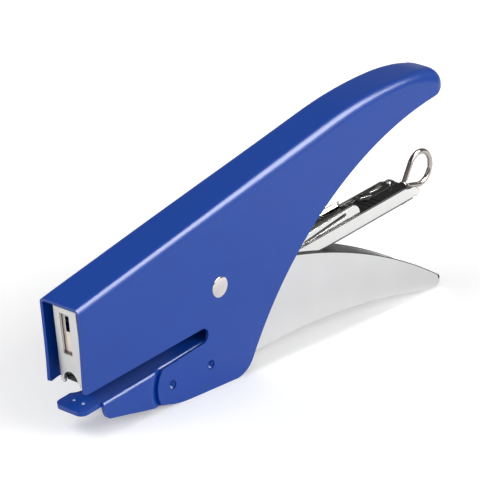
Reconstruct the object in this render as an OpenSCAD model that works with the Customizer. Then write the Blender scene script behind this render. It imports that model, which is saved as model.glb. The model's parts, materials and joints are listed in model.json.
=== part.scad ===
// Hand-squeezed plier stapler: folded sheet body with a fixed lower jaw, a chromed lever
// and a staple magazine that all turn on one rivet.
// Lengths in millimetres. X runs from the jaw to the handle's end, Z is up.
// Shapes are drawn about the rivet's axis and moved once, so that the part stands on Z = 0.

/* [Body shell] */
// Outer width of the body shell
body_w = 15; // [14.6:0.1:17]
// Thickness of the body sheet
sheet = 0.9; // [0.7:0.05:1]
// Height of the rivet's axis above the table
pivot_h = 29.7; // [29.7:0.1:31]
// X of the front edge of the roof
front_x = -54.5; // [-58:0.5:-54]
// Slope of the straight part of the roof, degrees
roof_tilt = 14.8; // [14:0.1:15.5]
// Height of the roof plane above the rivet's axis
roof_z0 = 23.7; // [23:0.1:26]
// Radius of the handle's back
back_r = 147; // [140:1:155]
// X of the highest point of the handle's back
back_top_x = 85; // [83:0.5:87]
// Radius of the handle's end
tip_r = 6; // [5:0.1:6.5]
// Radius of the curve under the handle
grip_r = 109; // [107:0.5:111]
// Radius of the body's rear bottom corner
heel_r = 8; // [6:0.5:9]

/* [Paper throat and lower jaw] */
// Slope of the body's edge above the throat, degrees
throat_tilt = 6.6; // [6:0.1:7]
// Radius of the throat's closed end
throat_r = 2.3; // [2.1:0.1:2.4]
// Slope of the jaw, degrees
jaw_tilt = 7.5; // [7.2:0.1:8]
// Thickness of the jaw's sheet
jaw_sheet = 1; // [0.8:0.1:1.2]
// Width of the anvil tongue
tongue_w = 10; // [9:0.1:10.6]
// Distance between the two clinch recesses
clinch_gap = 4; // [3.6:0.1:4.4]
// Radius of a jaw rivet
jaw_rivet_r = 1.5; // [1.2:0.1:1.8]

/* [Pivot] */
// Radius of the rivet's shaft
rivet_r = 2; // [1.6:0.1:2.2]
// Radius of the rivet's heads
rivet_head_r = 3.05; // [2.8:0.05:3.6]
// Radial play of the turning parts on the rivet
pivot_play = 0.05; // [0.03:0.01:0.08]

/* [Lever] */
// Outer width of the lever
lever_w = 12; // [11.9:0.1:12.4]
// Thickness of the lever's sheet
lever_sheet = 0.8; // [0.6:0.05:0.9]
// Radius of the lever's upper edge
lever_top_r = 191.7; // [185:0.1:200]
// Radius of the lever's floor
lever_floor_r = 226.3; // [220:0.1:235]
// Radius of the lever's rear end
lever_nose_r = 2.6; // [2.2:0.1:3]

/* [Magazine] */
// Slope of the magazine at rest, degrees
mag_tilt = 6.8; // [6.5:0.1:7]
// Outer width of the magazine channel
mag_w = 9.8; // [9.6:0.1:9.9]
// Outer height of the magazine channel
mag_h = 4.5; // [4.3:0.1:4.8]
// Thickness of the magazine's sheet
mag_sheet = 0.7; // [0.5:0.05:0.75]
// Height of the magazine's front plate
plate_h = 22; // [20:0.5:22.5]
// Width of the slot in the front plate
plate_slot_w = 2.8; // [2.2:0.1:3.2]

/* [Staples] */
// Outer width of a staple
staple_w = 6.2; // [6:0.1:6.4]
// Height of a staple
staple_h = 3.9; // [3.6:0.1:4]
// Diameter of the staple wire
staple_wire = 0.5; // [0.4:0.05:0.6]
// Number of staples in the strip
staple_count = 50; // [10:1:50]

/* [Follower] */
// Radius of the wire of the rod and the pull ring
wire_r = 0.75; // [0.6:0.05:0.8]
// Radius of the pull ring, at the middle of the wire
ring_r = 5.3; // [5:0.1:5.5]

/* [Springs] */
// Turns of the lever's return spring
return_turns = 4; // [3:1:5]
// Turns of the spring that holds the magazine down
hold_turns = 4; // [3:1:5]
// Turns of the spring on the follower rod
follower_turns = 22; // [12:1:26]

/* [Hidden] */
$fn = 96;

// Widths across the stack of parts, as distances from the middle plane
body_y = body_w / 2;
cavity_y = body_y - sheet;
lever_y = lever_w / 2;
lever_in_y = lever_y - lever_sheet;
mag_y = mag_w / 2;
mag_in_y = mag_y - mag_sheet;
frame_y = mag_in_y;
frame_in_y = staple_w / 2 + 0.2;

// Roof, handle and grip curves of the body shell
back_x0 = back_top_x - back_r * sin(roof_tilt);
back_cz = roof_z(back_x0) - back_r * cos(roof_tilt);
tip_x = 88.3;
tip_dz = sqrt(pow(back_r - tip_r, 2) - pow(tip_x - back_top_x, 2));
tip_z = back_cz + tip_dz;
tip_start = atan2(tip_dz, tip_x - back_top_x);
grip_x = 110.6;
grip_z = -74.4;
heel_z = heel_r - pivot_h;
heel_dz = heel_z - grip_z;
heel_x = grip_x - sqrt(pow(grip_r + heel_r, 2) - pow(heel_dz, 2));
heel_end = atan2(heel_dz, heel_x - grip_x);
lip_x = tip_x + tip_r - 2.1;
lip_r = tip_z - grip_top(lip_x);
toe_x = -12;
toe_r = 33;

// Paper throat, seen from the side
throat_x = -6.9;
throat_z = -12.7;
throat_front_x = front_x + 1;

// Jaw
jaw_y = cavity_y - 0.05;
jaw_in_y = jaw_y - jaw_sheet;
jaw_ref = [-31.5, -18.33];
jaw_back_x = -1;
jaw_step_x = -45.3;
tongue_x = -52.2;
tongue_corner = 2.2;
clinch_x = -46.9;
clinch = [1.9, 1.7];
clinch_depth = 0.4;
jaw_rivet_at = [[-19, -23.2], [-3.7, -22.1]];
panel_c = [-15.9, -23.1];
panel_r = 8.8;
joggle_r = [panel_r + 0.25, panel_r + 1.35];

// Magazine frame: x along the channel, z square to it, both from the rivet's axis
mag_front = -51.2;
mag_back = 89.3;
mag_base = -8.6;
mag_floor = mag_base + mag_sheet;
mag_top = mag_base + mag_h;
foot_drop = 0.8;
plate_t = 0.8;
blade_t = 0.6;
blade_x = mag_front + plate_t + 0.1;
rail_x = blade_x + blade_t + 0.15;
rail_top = mag_top + 2.7;
rail_back = 63;
rail_corner = 2.6;
ear_r = 4.6;
strip_x = blade_x + blade_t + 0.05;
strip_len = staple_count * staple_wire;
frame_rivet_x = [-38, 26];
frame_rivet_z = mag_floor + 1.7;
frame_rivet_r = 0.9;
saddle_x = [-35, -25];
saddle_t = 0.6;

// Lever, about the rivet
lever_top_c = [-2.3, -188.9];
lever_floor_c = [43.3, -250.6];
lever_nose_c = [96.9, lever_nose_r - pivot_h];
lever_boss_r = 6;
driver_pin_at = [-47.6, 2.4];
driver_pin_r = 1.3;
yoke_x = [-34, -26];
yoke_z = 1.6;
yoke_t = 1;

// Follower, in the magazine's frame
rod_z = -6.05;
rod_x = [-45, 84];
pusher_x = [strip_x + strip_len + 0.2, strip_x + strip_len + 7.2];
plug_x = [64, 86.6];
plug_top = mag_top - 0.7;
ring_apex = [87.8, rod_z];
ring_c = [95.3, -3.5];

// Curves

function roof_z(x) = roof_z0 + x * tan(roof_tilt);
function grip_top(x) = grip_z + sqrt(pow(grip_r, 2) - pow(x - grip_x, 2));
function throat_top_z(x) = throat_z + throat_r + (x - throat_x) * tan(throat_tilt);
function jaw_top_z(x) = jaw_ref[1] + (x - jaw_ref[0]) * tan(jaw_tilt);
function circle_z(c, r, x) = c[1] + sqrt(r * r - pow(x - c[0], 2));

// Points on an arc about c, from angle a0 to a1
function arc(c, r, a0, a1, n) = [
    for (i = [0 : n]) let (a = a0 + (a1 - a0) * i / n) [c[0] + r * cos(a), c[1] + r * sin(a)]
];

// The same arc without its first point, where it goes on from another curve
function arc_on(c, r, a0, a1, n) = [for (p = arc(c, r, a0, a1, n)) if (p != arc(c, r, a0, a1, n)[0]) p];

// Points on the upper half of a circle, from x0 to x1
function crest(c, r, x0, x1, n) = [
    for (i = [0 : n]) let (x = x0 + (x1 - x0) * i / n) [x, circle_z(c, r, x)]
];

// Tools

// Moves the part from the rivet's axis to the table, with the middle of its length at X = 0
module standing() {
    span_back = magazine_point(ring_c)[0] + ring_r + wire_r;
    translate([-(front_x + span_back) / 2, 0, pivot_h]) children();
}

// A point of the magazine's frame, in the frame of the rivet
function magazine_point(p) = [
    p[0] * cos(mag_tilt) - p[1] * sin(mag_tilt),
    p[0] * sin(mag_tilt) + p[1] * cos(mag_tilt)
];

// The other way round
function in_magazine_frame(p) = [
    p[0] * cos(mag_tilt) + p[1] * sin(mag_tilt),
    p[1] * cos(mag_tilt) - p[0] * sin(mag_tilt)
];

module in_magazine() {
    rotate([0, -mag_tilt, 0]) children();
}

// A plate of the given side outline between two distances from the middle plane
module plate(y0, y1, outline) {
    translate([0, y1, 0]) rotate([90, 0, 0]) linear_extrude(y1 - y0) polygon(outline);
}

// A round bar across the part
module bar(at, r, y0, y1) {
    translate([at[0], y1, at[1]]) rotate([90, 0, 0]) cylinder(r = r, h = y1 - y0);
}

module both_sides() {
    for (side = [0, 1]) mirror([0, side, 0]) children();
}

module block(x, y, z) {
    translate([x[0], y[0], z[0]]) cube([x[1] - x[0], y[1] - y[0], z[1] - z[0]]);
}

// A tube of wire that winds about an axis and follows a list of points
module wire(path, r, axis, sides) {
    n = len(path);
    ahead = [for (i = [0 : n - 1]) path[min(i + 1, n - 1)] - path[max(i - 1, 0)]];
    rings = [
        for (i = [0 : n - 1])
            let (t = ahead[i] / norm(ahead[i]))
            let (u = cross(t, axis) / norm(cross(t, axis)))
            let (v = cross(t, u))
            for (k = [0 : sides - 1])
                let (a = 360 * k / sides) path[i] + r * (cos(a) * u + sin(a) * v)
    ];
    walls = [
        for (i = [0 : n - 2]) for (k = [0 : sides - 1])
            let (k2 = (k + 1) % sides)
            each [
                [i * sides + k, (i + 1) * sides + k, i * sides + k2],
                [i * sides + k2, (i + 1) * sides + k, (i + 1) * sides + k2]
            ]
    ];
    caps = [
        [for (k = [0 : sides - 1]) k],
        [for (k = [sides - 1 : -1 : 0]) (n - 1) * sides + k]
    ];
    polyhedron(points = rings, faces = concat(walls, caps), convexity = 10);
}

// Body shell

body_outline = concat(
    [[front_x, roof_z(front_x)]],
    arc([back_top_x, back_cz], back_r, 90 + roof_tilt, tip_start, 12),
    arc_on([tip_x, tip_z], tip_r, tip_start, 0, 10),
    arc_on([tip_x + tip_r - lip_r, tip_z], lip_r, 0, -90, 6),
    arc([grip_x, grip_z], grip_r, 100, heel_end, 32),
    arc_on([heel_x, heel_z], heel_r, heel_end - 180, -90, 8),
    arc([toe_x, toe_r - pivot_h], toe_r, -90, -106, 4),
    arc(panel_c, panel_r, 214, 141, 8),
    [[throat_x, throat_z - throat_r]],
    arc([throat_x, throat_z], throat_r, -80, 90, 12),
    [[throat_front_x + 1.2, throat_top_z(throat_front_x + 1.2)]],
    [[throat_front_x, throat_top_z(throat_front_x) + 1.2]]
);

// Space under the roof: the roof's inner face, then past all the free edges
cavity_outline = concat(
    [[front_x - 10, roof_z(front_x - 10) - sheet / cos(roof_tilt)]],
    arc([back_top_x, back_cz], back_r - sheet, 90 + roof_tilt, tip_start, 12),
    arc_on([tip_x, tip_z], tip_r - sheet, tip_start, 0, 10),
    arc_on([tip_x + tip_r - lip_r, tip_z], lip_r - sheet, 0, -90, 6),
    [[tip_x + tip_r - lip_r, -pivot_h - 10]],
    [[front_x - 10, -pivot_h - 10]]
);

module body_shell() {
    color("royalblue") difference() {
        plate(-body_y, body_y, body_outline);
        plate(-cavity_y, cavity_y, cavity_outline);
        bar([0, 0], rivet_r, -body_w, body_w);
        for (at = jaw_rivet_at) bar(at, jaw_rivet_r, -body_w, body_w);
    }
}

// Lower jaw

jaw_side_outline = [
    [jaw_step_x, jaw_top_z(jaw_step_x)],
    [jaw_step_x + 0.1, -21.4],
    [jaw_step_x + 0.6, -23.4],
    [jaw_step_x + 1.4, -24.5],
    [jaw_step_x + 2.4, -25],
    [-35.7, -26.4],
    [-29.9, -27.4],
    [-23, -28.4],
    [-14, -29.1],
    [jaw_back_x, -29.1],
    [jaw_back_x, jaw_top_z(jaw_back_x)]
];

// The jaw in front of the panels and the jaw between them, with the joggle where they meet
module jaw_front() {
    difference() {
        block([-60, panel_c[0]], [-body_w, body_w], [-40, 0]);
        bar(panel_c, joggle_r[0], -body_w - 1, body_w + 1);
    }
}

module jaw_rear() {
    block([panel_c[0] - 1, 0], [-body_w, body_w], [-40, 0]);
    bar(panel_c, joggle_r[1], -body_w, body_w);
}

module jaw_cover(x0, x1, y, thickness) {
    plate(-y, y, [
        [x0, jaw_top_z(x0) - thickness], [x1, jaw_top_z(x1) - thickness],
        [x1, jaw_top_z(x1)], [x0, jaw_top_z(x0)]
    ]);
}

module tongue_plan() {
    r = tongue_corner;
    y = tongue_w / 2;
    linear_extrude(60, center = true) union() {
        translate([tongue_x + r, -y]) square([jaw_step_x - tongue_x, tongue_w]);
        translate([tongue_x, r - y]) square([r, tongue_w - 2 * r]);
        for (side = [-1, 1]) translate([tongue_x + r, side * (y - r)]) circle(r);
    }
}

module lower_jaw() {
    color("royalblue") difference() {
        union() {
            both_sides() {
                intersection() {
                    plate(body_y - jaw_sheet, body_y, jaw_side_outline);
                    jaw_front();
                }
                intersection() {
                    plate(jaw_in_y, jaw_y, jaw_side_outline);
                    jaw_rear();
                }
                intersection() {
                    plate(jaw_in_y, body_y, jaw_side_outline);
                    jaw_front();
                    jaw_rear();
                }
            }
            intersection() {
                jaw_cover(jaw_step_x, jaw_back_x, body_y, jaw_sheet);
                jaw_front();
            }
            jaw_cover(jaw_step_x, jaw_back_x, jaw_y, jaw_sheet);
            intersection() {
                jaw_cover(tongue_x, jaw_step_x + 4, tongue_w / 2, jaw_sheet);
                tongue_plan();
            }
        }
        for (at = jaw_rivet_at) bar(at, jaw_rivet_r, -body_w, body_w);
        for (side = [-1, 1])
            translate([clinch_x, side * clinch_gap / 2, jaw_top_z(clinch_x)])
                rotate([0, -jaw_tilt, 0])
                    cube([clinch[0], clinch[1], 2 * clinch_depth], center = true);
    }
}

module jaw_rivets() {
    color("mediumblue") both_sides() for (at = jaw_rivet_at) {
        bar(at, jaw_rivet_r, jaw_in_y, body_y - 0.5);
        bar(at, jaw_rivet_r + 0.7, jaw_in_y - 0.4, jaw_in_y);
    }
}

// Pivot

module pivot_rivet() {
    color("silver") {
        bar([0, 0], rivet_r, -body_y, body_y);
        both_sides() bar([0, 0], rivet_head_r, body_y, body_y + 0.5);
    }
}

module pivot_ring(r, y0, y1) {
    difference() {
        bar([0, 0], r, y0, y1);
        bar([0, 0], rivet_r + pivot_play, y0 - 1, y1 + 1);
    }
}

module pivot_spacer() {
    color("gray") pivot_ring(rivet_r + 0.9, 0.05 - frame_in_y, frame_in_y - 0.05);
}

module inner_spacers() {
    color("dimgray") both_sides() pivot_ring(rivet_r + 2, frame_y + 0.05, lever_in_y - 0.05);
}

module outer_washers() {
    color("dimgray") both_sides() pivot_ring(rivet_r + 2.5, lever_y + 0.05, cavity_y - 0.05);
}

// Torsion spring round the spacer: one leg under the lever's yoke, one under the roof
module return_spring() {
    coil_r = rivet_r + 1.5;
    wire = 0.45;
    y = 2.8;
    steps = 14 * return_turns + 10;
    turn = 360 * return_turns + 300;
    leg_dir = [cos(60), 0, sin(60)];
    leg_start = [-coil_r * sin(60), y, coil_r * cos(60)];
    coil = [
        for (i = [0 : steps]) let (f = i / steps)
            [coil_r * cos(90 - f * turn), -y + 2 * y * f, coil_r * sin(90 - f * turn)]
    ];
    color("silver") wire(concat(
        [[yoke_x[1] - 1.2, -y, yoke_z - wire - 0.1], [-12, -y, 2.8], [-3, -y, coil_r]],
        coil,
        [leg_start + 12 * leg_dir, leg_start + 26.6 * leg_dir]
    ), wire, [0, 1, 0], 6);
}

// Lever

lever_outline = concat(
    crest(lever_floor_c, lever_floor_r, 16, 92, 24),
    arc(lever_nose_c, lever_nose_r, -90, 30, 10),
    crest(lever_top_c, lever_top_r, 98, 8, 30),
    arc([0, 0], lever_boss_r, 60, 120, 5),
    [[-20, 5.6], [driver_pin_at[0] + 1.5, driver_pin_at[1] + 2.9]],
    arc(driver_pin_at, 3, 100, 260, 10),
    [[driver_pin_at[0] + 2, driver_pin_at[1] - 3]],
    arc([0, 0], lever_boss_r, 215, 290, 5),
    [[6.5, -14], [9.5, -21]]
);

lever_cavity_outline = concat(
    [[-60, -26], [8, -26.5]],
    crest(lever_floor_c, lever_floor_r + lever_sheet, 12, 92, 24),
    arc(lever_nose_c, lever_nose_r - lever_sheet, -90, 40, 8),
    [[lever_nose_c[0] + 2, 20], [-60, 20]]
);

module lever_handle() {
    color("gainsboro") difference() {
        plate(-lever_y, lever_y, lever_outline);
        plate(-lever_in_y, lever_in_y, lever_cavity_outline);
        bar([0, 0], rivet_r + pivot_play, -body_w, body_w);
        bar(driver_pin_at, driver_pin_r, -body_w, body_w);
    }
}

module driver_yoke() {
    color("silver") difference() {
        block(yoke_x, [-lever_in_y, lever_in_y], [yoke_z, yoke_z + yoke_t]);
        translate([-30, 0, yoke_z]) cylinder(r = 0.9, h = 3 * yoke_t, center = true);
    }
}

module driver_pin() {
    color("dimgray") bar(driver_pin_at, driver_pin_r, -lever_y, lever_y);
}

// Magazine

channel_wall_outline = concat(
    [[mag_front, mag_base - foot_drop], [mag_front + 2, mag_base - foot_drop]],
    [[mag_front + 2.6, mag_base], [mag_back - 1.6, mag_base]],
    arc([mag_back - 2.2, mag_base + 2.2], 2.2, -50, 10, 4),
    arc([mag_back - 3.4, mag_top - 2.2], 2.2, 60, 90, 3),
    [[mag_front, mag_top]]
);

module magazine_channel() {
    color("gainsboro") in_magazine() {
        both_sides() difference() {
            plate(mag_in_y, mag_y, channel_wall_outline);
            frame_rivet_holes();
        }
        block([rail_x, mag_back - 3], [-mag_in_y, mag_in_y], [mag_base, mag_floor]);
        block([84, 85.6], [-mag_in_y, 1.2 - mag_in_y], [mag_base - 0.8, mag_base]);
    }
}

frame_outline = concat(
    [[rail_x, mag_floor], [rail_back, mag_floor]],
    arc([rail_back - rail_corner, rail_top - rail_corner], rail_corner, 0, 90, 6),
    [[12, rail_top]],
    arc([0, 0], ear_r, 30, 150, 10),
    [[-12, rail_top], [rail_x, rail_top]]
);

// Long slot with round ends in the upper part of each side plate
module frame_slot() {
    x = [22, 58];
    z = (mag_top + rail_top) / 2 + 0.35;
    r = 0.45;
    for (end = x) bar([end, z], r, 0, mag_w);
    block(x, [0, mag_w], [z - r, z + r]);
}

module inner_frame() {
    color("whitesmoke") in_magazine() both_sides() difference() {
        plate(frame_in_y, frame_y, frame_outline);
        bar([0, 0], rivet_r + pivot_play, 0, body_w);
        frame_slot();
        frame_rivet_holes();
    }
}

module front_plate() {
    flange = 2.1;
    slot_z = -0.3;
    plate_top = mag_base + plate_h;
    arch_r = 2.4;
    color("whitesmoke") in_magazine() difference() {
        block([mag_front, mag_front + flange], [-frame_y, frame_y], [mag_base, plate_top]);
        block([mag_front + plate_t, 0], [-frame_in_y, frame_in_y], [mag_base - 1, plate_top + 1]);
        block([rail_x, 0], [-frame_y - 1, frame_y + 1], [mag_base - 1, rail_top]);
        block([mag_front - 1, 0], [-plate_slot_w / 2, plate_slot_w / 2], [slot_z, plate_top - 0.8]);
        translate([mag_front - 1, 0, mag_base + 0.9]) rotate([0, 90, 0]) cylinder(r = arch_r, h = 3);
    }
}

module saddle_plate() {
    color("silver") in_magazine() difference() {
        block(saddle_x, [-frame_y, frame_y], [rail_top, rail_top + saddle_t]);
        translate([-30, 0, rail_top]) cylinder(r = 0.9, h = 3, center = true);
    }
}

module frame_rivets() {
    color("silver") in_magazine() both_sides() for (x = frame_rivet_x)
        difference() {
            bar([x, frame_rivet_z], frame_rivet_r, frame_in_y, mag_y + 0.15);
            bar([x, frame_rivet_z], 0.3, mag_y, mag_y + 1);
        }
}

module frame_rivet_holes() {
    for (x = frame_rivet_x) bar([x, frame_rivet_z], frame_rivet_r, 0, body_w);
}

module staple_strip() {
    crown_z = mag_floor + staple_h;
    leg_y = staple_w / 2 - staple_wire;
    color("lightgray") in_magazine() difference() {
        block([strip_x, strip_x + strip_len], [-staple_w / 2, staple_w / 2],
              [mag_floor + 0.05, crown_z]);
        block([strip_x - 1, strip_x + strip_len + 1], [-leg_y, leg_y],
              [mag_floor - 1, crown_z - staple_wire]);
    }
}

module hold_down_spring() {
    coil_r = 1.9;
    wire = 0.28;
    x = -30;
    low = magazine_point([x, rail_top + saddle_t]) + [0, wire + 0.15];
    high = yoke_z - wire - 0.15;
    steps = 14 * hold_turns;
    color("silver") wire([
        for (i = [0 : steps]) let (f = i / steps) let (a = 360 * hold_turns * f)
            [low[0] + coil_r * cos(a), coil_r * sin(a), low[1] + (high - low[1]) * f]
    ], wire, [0, 0, 1], 6);
}

// Driver

module driver_blade() {
    blade_y = staple_w / 2 - 0.1;
    tip = mag_floor + staple_h + 0.2;
    lug = [blade_x + blade_t, -44];
    pin = in_magazine_frame(driver_pin_at);
    color("silver") in_magazine() difference() {
        union() {
            block([blade_x, blade_x + blade_t], [-blade_y, blade_y], [tip, 11]);
            both_sides() block(lug, [blade_y - 0.8, blade_y], [pin[1] - 2.6, pin[1] + 2.6]);
        }
        for (shift = [-1.2, 0.3]) bar(pin + [shift, 0], driver_pin_r + 0.08, -body_w, body_w);
        block([pin[0] - 1.2, pin[0] + 0.3], [-body_w, body_w],
              [pin[1] - driver_pin_r - 0.08, pin[1] + driver_pin_r + 0.08]);
    }
}

// Follower

module follower_plug() {
    color([0.08, 0.08, 0.09]) in_magazine() difference() {
        block(plug_x, [0.2 - mag_in_y, mag_in_y - 0.2], [mag_floor + 0.1, plug_top]);
        translate([0, 0, rod_z]) rotate([0, 90, 0]) cylinder(r = wire_r, h = 200);
        for (x = [67 : 2.2 : 73]) block([x, x + 0.9], [-mag_w, mag_w], [plug_top - 0.4, plug_top + 1]);
    }
}

module follower_rod() {
    color("silver") in_magazine() translate([rod_x[0], 0, rod_z])
        rotate([0, 90, 0]) cylinder(r = wire_r, h = rod_x[1] - rod_x[0]);
}

// Wire ring that narrows to a stem: a round part and two tangents from the stem's end,
// with a bead of solder where they meet
module pull_ring() {
    to_apex = ring_apex - ring_c;
    facing = atan2(to_apex[1], to_apex[0]);
    half_angle = acos(ring_r / norm(to_apex));
    bead = wire_r + 0.1;
    gap = 0.2;
    color("silver") in_magazine() {
        translate([ring_c[0], 0, ring_c[1]]) rotate([90, 0, 0]) {
            rotate([0, 0, facing + half_angle])
                rotate_extrude(angle = 360 - 2 * half_angle)
                    translate([ring_r, 0]) circle(wire_r);
            for (side = [-1, 1])
                rotate([0, 0, facing + side * half_angle]) translate([ring_r, 0, 0])
                    rotate([side * 90, 0, 0]) {
                        sphere(bead);
                        translate([0, 0, gap]) cylinder(r = wire_r, h = ring_r * tan(half_angle) - gap);
                    }
        }
        translate([ring_apex[0], 0, ring_apex[1]]) sphere(bead);
        translate([rod_x[1], 0, rod_z]) rotate([0, 90, 0])
            cylinder(r = wire_r, h = ring_apex[0] - rod_x[1]);
    }
}

module latch_spring() {
    leaf = 0.3;
    color("white") in_magazine() difference() {
        plate(-1.5, 2.6, [
            [74.5, plug_top], [86, plug_top], [86, plug_top + leaf], [80.5, plug_top + leaf],
            [77.5, plug_top + leaf + 0.35], [74.5, plug_top + leaf]
        ]);
        translate([84.4, 0.6, plug_top]) cylinder(r = 0.6, h = 3, center = true);
    }
}

module latch_rivet() {
    color("white") in_magazine() translate([84.4, 0.6, 0]) {
        translate([0, 0, plug_top]) cylinder(r = 0.6, h = 0.3);
        translate([0, 0, plug_top + 0.3]) cylinder(r = 1.1, h = 0.35);
    }
}

module follower_spring() {
    coil_r = 1.3;
    wire = 0.2;
    x0 = pusher_x[1] + wire + 0.05;
    x1 = plug_x[0] - wire - 0.05;
    steps = 10 * follower_turns;
    color("silver") in_magazine() wire([
        for (i = [0 : steps]) let (f = i / steps) let (a = 360 * follower_turns * f)
            [x0 + (x1 - x0) * f, coil_r * cos(a), rod_z + coil_r * sin(a)]
    ], wire, [1, 0, 0], 5);
}

module staple_pusher() {
    y = staple_w / 2;
    color("slategray") in_magazine() difference() {
        block(pusher_x, [-y, y], [mag_floor + 0.2, mag_top - 0.3]);
        translate([-60, 0, rod_z]) rotate([0, 90, 0]) cylinder(r = wire_r + 0.08, h = 100);
    }
}

standing() body_shell();
standing() lower_jaw();
standing() jaw_rivets();
standing() pivot_rivet();
standing() pivot_spacer();
standing() inner_spacers();
standing() outer_washers();
standing() return_spring();
standing() lever_handle();
standing() driver_yoke();
standing() driver_pin();
standing() magazine_channel();
standing() inner_frame();
standing() front_plate();
standing() saddle_plate();
standing() frame_rivets();
standing() staple_strip();
standing() hold_down_spring();
standing() driver_blade();
standing() follower_plug();
standing() follower_rod();
standing() pull_ring();
standing() latch_spring();
standing() latch_rivet();
standing() follower_spring();
standing() staple_pusher();
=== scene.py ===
import json
import math
from math import acos, asin, atan2, cos, pi, radians, sin, sqrt, tan

import bmesh
import bpy
from mathutils import Matrix, Vector

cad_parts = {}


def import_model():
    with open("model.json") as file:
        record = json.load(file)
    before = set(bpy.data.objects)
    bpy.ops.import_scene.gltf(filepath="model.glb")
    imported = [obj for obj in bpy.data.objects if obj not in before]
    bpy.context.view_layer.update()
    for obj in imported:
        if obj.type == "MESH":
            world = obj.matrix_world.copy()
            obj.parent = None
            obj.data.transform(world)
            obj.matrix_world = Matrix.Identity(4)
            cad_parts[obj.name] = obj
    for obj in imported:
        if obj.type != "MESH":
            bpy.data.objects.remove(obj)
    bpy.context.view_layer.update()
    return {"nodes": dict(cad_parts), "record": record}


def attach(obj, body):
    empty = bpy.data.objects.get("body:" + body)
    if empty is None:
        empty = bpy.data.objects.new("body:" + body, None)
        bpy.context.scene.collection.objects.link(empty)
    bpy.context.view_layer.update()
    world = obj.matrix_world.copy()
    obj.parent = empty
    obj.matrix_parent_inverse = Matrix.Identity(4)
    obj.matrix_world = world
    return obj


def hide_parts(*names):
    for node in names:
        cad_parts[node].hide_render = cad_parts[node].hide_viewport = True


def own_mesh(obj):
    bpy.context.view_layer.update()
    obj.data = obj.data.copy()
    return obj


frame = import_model()
nodes = frame["nodes"]

# Shapes are drawn in millimetres about the rivet's axis, as the CAD part is, and moved once.
MM = 0.001
MID_X = 23.297
PIVOT_Z = 29.7
MAG_TILT = radians(6.8)


def standing(p):
    """A point about the rivet, in millimetres, in the row frame in metres."""
    return Vector(((p[0] - MID_X) * MM, p[1] * MM, (p[2] + PIVOT_Z) * MM))


def magazine(p):
    """A point of the magazine's frame, x along the channel and z square to it, in the row frame."""
    x, y, z = p
    return standing((x * cos(MAG_TILT) - z * sin(MAG_TILT), y, x * sin(MAG_TILT) + z * cos(MAG_TILT)))


# ---------------------------------------------------------------- curves

def arc(c, r, a0, a1, n):
    """n + 1 points on an arc about c, from angle a0 to a1 in degrees."""
    return [(c[0] + r * cos(radians(a0 + (a1 - a0) * i / n)),
             c[1] + r * sin(radians(a0 + (a1 - a0) * i / n))) for i in range(n + 1)]


def crest(c, r, x0, x1, n):
    """Points on the upper half of a circle, from x0 to x1."""
    return [(x0 + (x1 - x0) * i / n, c[1] + sqrt(r * r - (x0 + (x1 - x0) * i / n - c[0]) ** 2))
            for i in range(n + 1)]


def smooth(t):
    t = min(max(t, 0.0), 1.0)
    return t * t * (3 - 2 * t)


def circle(c, r, n=32):
    return [(c[0] + r * cos(2 * pi * i / n), c[1] + r * sin(2 * pi * i / n)) for i in range(n)]


def helix(c, r, start, end, turns, steps):
    """A coil about an upright axis through c, from height start to end."""
    return [(c[0] + r * cos(2 * pi * turns * i / steps), c[1] + r * sin(2 * pi * turns * i / steps),
             start + (end - start) * i / steps) for i in range(steps + 1)]


def lengthwise(path):
    """Lays an upright path down along x."""
    return [(z, x, y) for x, y, z in path]


# ---------------------------------------------------------------- meshes

def new_object(name, bm, place=standing, crease=30):
    """Turns a bmesh in millimetres into an object in the row frame, smooth but for edges over crease."""
    for v in bm.verts:
        v.co = place(v.co)
    mesh = bpy.data.meshes.new(name)
    bm.normal_update()
    bm.to_mesh(mesh)
    bm.free()
    for p in mesh.polygons:
        p.use_smooth = True
    mesh.set_sharp_from_angle(angle=radians(crease))
    o = bpy.data.objects.new(name, mesh)
    bpy.context.scene.collection.objects.link(o)
    return o


def modifier(o, kind, **settings):
    m = o.modifiers.new(kind.title(), kind)
    for k, v in settings.items():
        setattr(m, k, v)
    return m


def soften(o, width, segments=3, angle=32, look=-1):
    """Rounds the sharp edges and keeps the flats flat; look is the material slot of the rounding."""
    modifier(o, "BEVEL", width=width * MM, segments=segments, limit_method="ANGLE", material=look,
             angle_limit=radians(angle), harden_normals=True, use_clamp_overlap=True)
    modifier(o, "WEIGHTED_NORMAL", keep_sharp=True, weight=60)
    return o


def thicken(o, thickness, edges=None, bare_rim=True):
    """Gives a sheet its thickness; edges is the look of its cut edges, here a near-black painted shade, on
    the whole rim if that is bare.
    """
    if edges:
        o.data.materials.append(CHROME)
        o.data.materials.append(edges)
    modifier(o, "SOLIDIFY", thickness=thickness * MM, offset=-1, use_even_offset=True,
             material_offset_rim=1 if edges and bare_rim else 0)
    return o


def bake(o):
    """Applies the modifiers, so that the mesh is what shows."""
    bpy.context.view_layer.update()
    graph = bpy.context.evaluated_depsgraph_get()
    mesh = bpy.data.meshes.new_from_object(o.evaluated_get(graph), preserve_all_data_layers=True,
                                           depsgraph=graph)
    o.modifiers.clear()
    o.data = mesh
    return o


def ring_edges(bm, points):
    """A closed ring of edges through new vertices."""
    verts = [bm.verts.new(p) for p in points]
    return [bm.edges.new((verts[i], verts[(i + 1) % len(verts)])) for i in range(len(verts))]


def edge_between(bm, a, b):
    return bm.edges.get((a, b)) or bm.edges.new((a, b))


def fill(bm, edges, normal):
    """Fills flat rings of edges; a ring inside another is a hole."""
    made = bmesh.ops.triangle_fill(bm, use_beauty=True, use_dissolve=False, edges=edges, normal=normal)
    return [f for f in made["geom"] if isinstance(f, bmesh.types.BMFace)]


def extrude(bm, faces, way):
    """Makes flat faces solid."""
    made = bmesh.ops.extrude_face_region(bm, geom=faces)
    moved = [v for v in made["geom"] if isinstance(v, bmesh.types.BMVert)]
    bmesh.ops.translate(bm, verts=moved, vec=way)


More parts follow.
